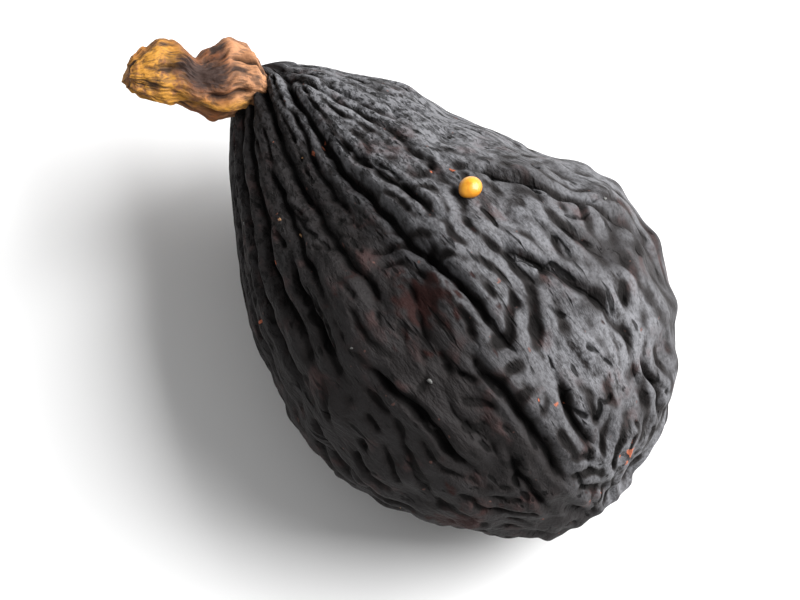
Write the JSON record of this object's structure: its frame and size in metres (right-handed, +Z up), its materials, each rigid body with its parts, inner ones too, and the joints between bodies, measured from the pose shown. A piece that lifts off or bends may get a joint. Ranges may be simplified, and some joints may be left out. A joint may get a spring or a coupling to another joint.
{
  "type": "dried fig",
  "caption": "Edible dried black fig lying on its side: wrinkled pear-shaped fruit, bent woody stem stub, scaled eye at the fat end and a seed stuck to its skin.",
  "frame": {"origin": "middle of the bounding box at table level, under the fruit", "axes": "+Z up from the table, -X towards the neck and stem, +X towards the eye at the fat end, +Y to the side away from the stem's free end"},
  "size_m": [0.0441, 0.0272, 0.0213],
  "materials": {
    "fig_skin": "dry wrinkled satin skin, near black",
    "stem_bark": "dry fibrous bark, golden brown",
    "eye_scale": "papery brown scales",
    "fig_seed": "smooth yellow seed coat"
  },
  "bodies": {
    "root": {"fruit": "fig_skin", "stem": "stem_bark", "eye_scales": "eye_scale", "stuck_seed": "fig_seed"}
  },
  "joints": []
}
